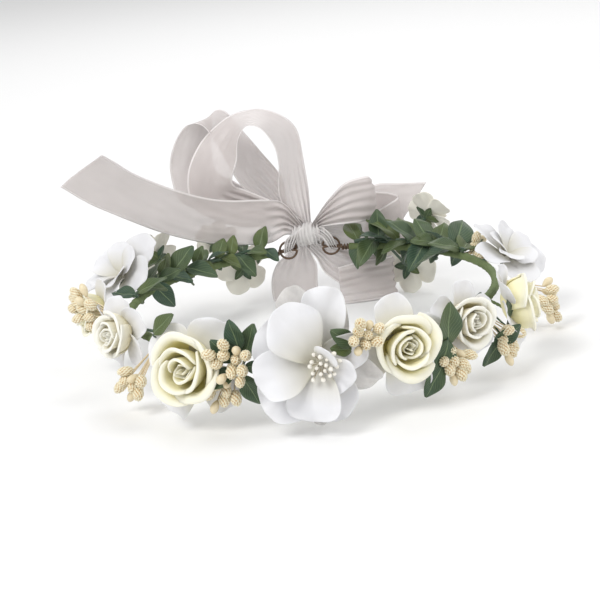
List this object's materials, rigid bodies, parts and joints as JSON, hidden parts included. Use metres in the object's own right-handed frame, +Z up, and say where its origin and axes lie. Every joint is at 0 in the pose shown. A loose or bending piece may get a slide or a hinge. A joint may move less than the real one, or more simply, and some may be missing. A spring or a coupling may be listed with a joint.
{
  "type": "flower crown",
  "caption": "Flower crown: a tape-bound wire hoop with foam roses, fabric flowers, berry sprays and leafy vines, tied at the back by an organza bow.",
  "frame": {"origin": "on the surface that the crown rests on, under the middle of the hoop", "axes": "+Z up out of the hoop, -Y toward the large front flower, +X to the wearer's left as seen from the front"},
  "size_m": [0.2414, 0.2462, 0.1074],
  "materials": {
    "wire": "matte",
    "tape": "matte",
    "foam": "matte",
    "white_fabric": "matte",
    "sheer_fabric": "satin",
    "cream_fabric": "matte",
    "stamens": "satin",
    "berries": "satin",
    "leaf_fabric": "satin",
    "organza": "satin"
  },
  "bodies": {
    "crown": {"hoop_wire": "wire", "floral_tape": "tape", "rose_1_head": "foam", "rose_1_collar": "white_fabric", "rose_1_stem": "tape", "rose_2_head": "foam", "rose_2_collar": "white_fabric", "rose_2_stem": "tape", "rose_3_head": "foam", "rose_3_collar": "white_fabric", "rose_3_stem": "tape", "rose_4_head": "foam", "rose_4_collar": "white_fabric", "rose_4_stem": "tape", "rose_5_head": "foam", "rose_5_collar": "white_fabric", "rose_5_stem": "tape", "rose_6_head": "foam", "rose_6_collar": "white_fabric", "rose_6_stem": "tape", "big_flower_stamens": "stamens", "big_flower_inner_petals": "white_fabric", "big_flower_outer_petals": "white_fabric", "big_flower_sheer_petals": "sheer_fabric", "big_flower_stem": "tape", "left_flower_petals": "white_fabric", "left_flower_calyx": "leaf_fabric", "right_flower_petals": "white_fabric", "right_flower_calyx": "leaf_fabric", "back_flower_1_petals": "cream_fabric", "back_flower_1_calyx": "leaf_fabric", "back_flower_2_petals": "cream_fabric", "back_flower_2_calyx": "leaf_fabric", "back_flower_3_petals": "cream_fabric", "back_flower_3_calyx": "leaf_fabric", "back_flower_4_petals": "cream_fabric", "back_flower_4_calyx": "leaf_fabric", "back_flower_5_petals": "cream_fabric", "back_flower_5_calyx": "leaf_fabric", "berry_spray_1": "berries", "berry_spray_2": "berries", "berry_spray_3": "berries", "berry_spray_4": "berries", "berry_spray_5": "berries", "berry_spray_6": "berries", "berry_spray_7": "berries", "berry_spray_8": "berries", "berry_spray_9": "berries", "left_vine": "leaf_fabric", "right_vine": "leaf_fabric", "left_leaves": "leaf_fabric", "right_leaves": "leaf_fabric", "bow_knot": "organza", "hanging_tail": "organza", "draped_tail": "organza"},
    "bow_loops": {"bow_front_loop": "organza", "bow_back_loop": "organza", "bow_puff": "organza"},
    "left_tail_ribbon": {"left_tail": "organza"},
    "right_tail_ribbon": {"right_tail": "organza"}
  },
  "joints": [
    {"name": "bow_lean", "type": "hinge", "parent": "crown", "child": "bow_loops", "pos_m": [0.001, 0.095, 0.039], "axis": [1, 0, 0], "range_deg": [-15, 5]},
    {"name": "left_tail_lift", "type": "hinge", "parent": "crown", "child": "left_tail_ribbon", "pos_m": [-0.0095, 0.0915, 0.0495], "axis": [0, 1, 0], "range_deg": [0, 25]},
    {"name": "right_tail_lift", "type": "hinge", "parent": "crown", "child": "right_tail_ribbon", "pos_m": [0.0145, 0.099, 0.038], "axis": [0, 1, 0], "range_deg": [-20, 0]}
  ]
}
